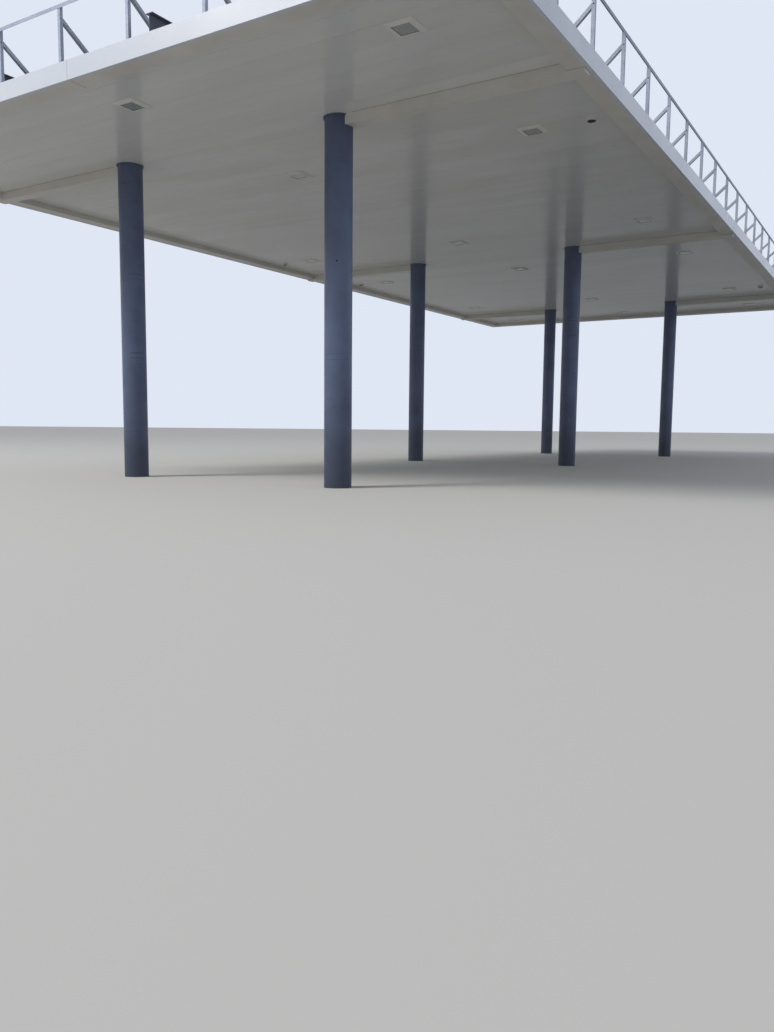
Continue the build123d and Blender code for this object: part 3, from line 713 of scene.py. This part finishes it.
def lightInsides(spec):
    # behind each lens a white board with five rows of diodes under small resin domes, inside a sloping
    # reflector; a black gasket holds the lens, and screws hold the bezel and the back box
    half, (z0, z1) = spec["opening"], spec["gasketZ"]
    flat = np.column_stack([lightPlaces, 0 * lightPlaces[:, 0]])
    inner = half - spec["gasket"]
    gasket = squared([(half, z0), (half, z1), (inner, z1), (inner, z0 + spec["gasketLip"])], closed=True)
    meshPiece("lensGaskets", repeated(gasket, flat), finishes["rubber"])
    low, high = spec["boardZ"]
    board = squared([(spec["boardHalf"], low), (spec["boardHalf"], high)])
    tray = joined([board, squared(spec["reflector"], closed=True)])
    meshPiece("lightBoards", repeated(tray, flat), finishes["ledBoard"])
    steps = (np.arange(spec["diodes"]) - (spec["diodes"] - 1) / 2) * spec["diodePitch"]
    diodes = repeated(roundHead(*spec["diode"]), around(lightPlaces, grid(steps, steps), low), (0, 0, -1))
    meshPiece("lightDiodes", diodes, finishes["phosphor"])
    screw, corners = roundHead(*spec["screw"]), grid((-1, 1), (-1, 1))
    bezel = repeated(screw, around(lightPlaces, corners * spec["screwAt"], spec["bezelZ"]), (0, 0, -1))
    lid = repeated(screw, around(lightPlaces, corners * spec["lidScrewAt"], spec["lidZ"]))
    meshPiece("lightScrews", joined([bezel, lid]), finishes["plated"])


# the columns
# a black dome on the column, partly painted shade standing in for the dark wire hole
plugAndHoleShade = {"radius": 0.014, "height": 0.004, "z": 3.229, "turnedBy": 28.8, "sunk": 0.001}


def plugsAndHoleShade(spec):
    # a black rubber plug in the wire hole of the right front column, whose black is painted shade for the
    # dark
    # of the hole: a low dome on the pipe, turnedBy degrees round from the front towards the right
    angle = math.radians(spec["turnedBy"])
    way = np.array([math.sin(angle), -math.cos(angle), 0])
    middle = (canopy["columnRow"], -canopy["columnLine"], spec["z"])
    place = middle + way * (canopy["columnRadius"] - spec["sunk"])
    plug = repeated(roundHead(spec["radius"], spec["height"]), [place], way)
    meshPiece("plugAndHoleShade", plug, finishes["rubber"])


# small cameras
cameraWindow = {"radius": 0.062, "drop": 0.018, "top": 5.2004, "startTurn": 0.03, "levels": 12, "sides": 48}


def cameraWindows(spec):
    # a shallow smoked window: r = R sin t, z = top - drop cos t for t from near 0 to a quarter turn, closed
    # above
    t = np.linspace(spec["startTurn"], np.pi / 2, spec["levels"])
    profile = np.stack([spec["radius"] * np.sin(t), spec["top"] - spec["drop"] * np.cos(t)], -1)
    places = np.column_stack([np.array(canopy["camera"]), np.zeros(len(canopy["camera"]))])
    window = meshPiece("cameraWindows", repeated(turned(profile, spec["sides"]), places), finishes["smoked"])
    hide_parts("dome_camera_domes")


panInterlocks(interlock)
panScrews(panScrew)
print("deck joints and screws made")
beamBolts(capBolt, cleatBolt)
stiffenerWelds(weld)
print("beam bolts and welds made")
fasciaFixings(fasciaScrew, braceBolt)
trimScrews(lipScrew, sleeveScrew)
sealantBeads(sealing, troughSeal)
print("fascia, gutter and drain fixings made")
lightInsides(light)
plugsAndHoleShade(plugAndHoleShade)
cameraWindows(cameraWindow)
print("lights, plug and camera windows made")


# floor, backdrop and light
stage = {
    "floorRadius": 500.0, "floorRings": 8, "floorSides": 64, "floor": "#d3d0c9", "bounce": "#a9a7a2",
    "floorRoughness": 0.9, "sky": "#e0e7f4", "skyForObject": 0.42,
}
lamps = {
    "veiledSun": {"kind": "SUN", "place": (-30, -52, 45), "aim": (0, -4, 3), "size": 20, "power": 1.1,
                  "tint": "#fefeff", "mirrored": False},
    "keySoft": {"kind": "AREA", "place": (-18, -37, 29), "aim": (0, -4, 3), "size": 16, "power": 7200,
                "tint": "#fefeff", "mirrored": True},
    "fillSoft": {"kind": "AREA", "place": (70, 7, 13), "aim": (0, 0, 3.5), "size": 18, "power": 5700,
                 "tint": "#c6d8ff", "mirrored": False},
}


def rayIs(tree, *kinds):
    # 1 for rays of one of these kinds, 0 for the light that falls on the object
    ray = addNode(tree, "LightPath", {}, {})
    found = ray.outputs[f"Is {kinds[0]} Ray"]
    for kind in kinds[1:]:
        found = addNode(tree, "Math", {"operation": "MAXIMUM"},
                        {0: found, 1: ray.outputs[f"Is {kind} Ray"]}).outputs[0]
    return found


def makeFloor(spec):
    # a flat disc: point(ring, angle) = (r cos a, r sin a, 0), its middle closed by strips of quads
    rings, sides = spec["floorRings"], spec["floorSides"]
    radius = np.geomspace(1, spec["floorRadius"], rings)[:, None]
    angle = np.arange(sides) * 2 * np.pi / sides
    points = np.stack([radius * np.cos(angle), radius * np.sin(angle), 0 * radius * angle], -1).reshape(-1, 3)
    index = np.arange(rings * sides).reshape(rings, sides)
    turn = np.hstack([index, index[:, :1]])
    outer = np.stack([turn[:-1, :-1], turn[1:, :-1], turn[1:, 1:], turn[:-1, 1:]], -1).reshape(-1, 4)
    k = np.arange(sides // 2 - 1)
    faces = np.vstack([outer, np.stack([k, k + 1, sides - 2 - k, sides - 1 - k], -1)])
    mesh = bpy.data.meshes.new("floor")
    mesh.from_pydata(points.tolist(), [], faces.tolist())
    floor = bpy.data.objects.new("floor", mesh)
    bpy.context.scene.collection.objects.link(floor)
    material, tree, shader, _ = startMaterial("paleFloor", Roughness=spec["floorRoughness"])
    colour = blended(tree, rayIs(tree, "Camera"), spec["bounce"], spec["floor"])
    tree.links.new(colour, shader.inputs["Base Color"])
    mesh.materials.append(material)


def makeSky(spec):
    # plain pale backdrop; the object itself is lit by a dimmer share of it
    world = bpy.data.worlds.new("paleSky")
    world.use_nodes = True
    tree = world.node_tree
    shader = tree.nodes["Background"]
    shader.inputs["Color"].default_value = hexColour(spec["sky"])
    seen = rayIs(tree, "Camera", "Glossy", "Transmission")
    tree.links.new(blended(tree, seen, spec["skyForObject"], 1.0), shader.inputs["Strength"])
    bpy.context.scene.world = world


def makeLamp(name, spec):
    # a square panel of the given size in metres, or a veiled sun as wide as size degrees, which lights all
    # places alike; one that isn't mirrored leaves no bright patch on gloss
    data = bpy.data.lights.new(name, spec["kind"])
    if spec["kind"] == "AREA":
        data.size = spec["size"]
    else:
        data.angle = math.radians(spec["size"])
    data.energy = spec["power"]
    data.color = hexColour(spec["tint"])[:3]
    lamp = bpy.data.objects.new(name, data)
    place, aim = Vector(spec["place"]), Vector(spec["aim"])
    turn = (aim - place).to_track_quat("-Z", "Y").to_matrix().to_4x4()
    lamp.matrix_world = Matrix.Translation(place) @ turn
    lamp.visible_glossy = spec["mirrored"]
    bpy.context.scene.collection.objects.link(lamp)


makeFloor(stage)
makeSky(stage)
for name, spec in lamps.items():
    makeLamp(name, spec)
print("stage and lights made")

bpy.context.scene.view_settings.view_transform = "Standard"
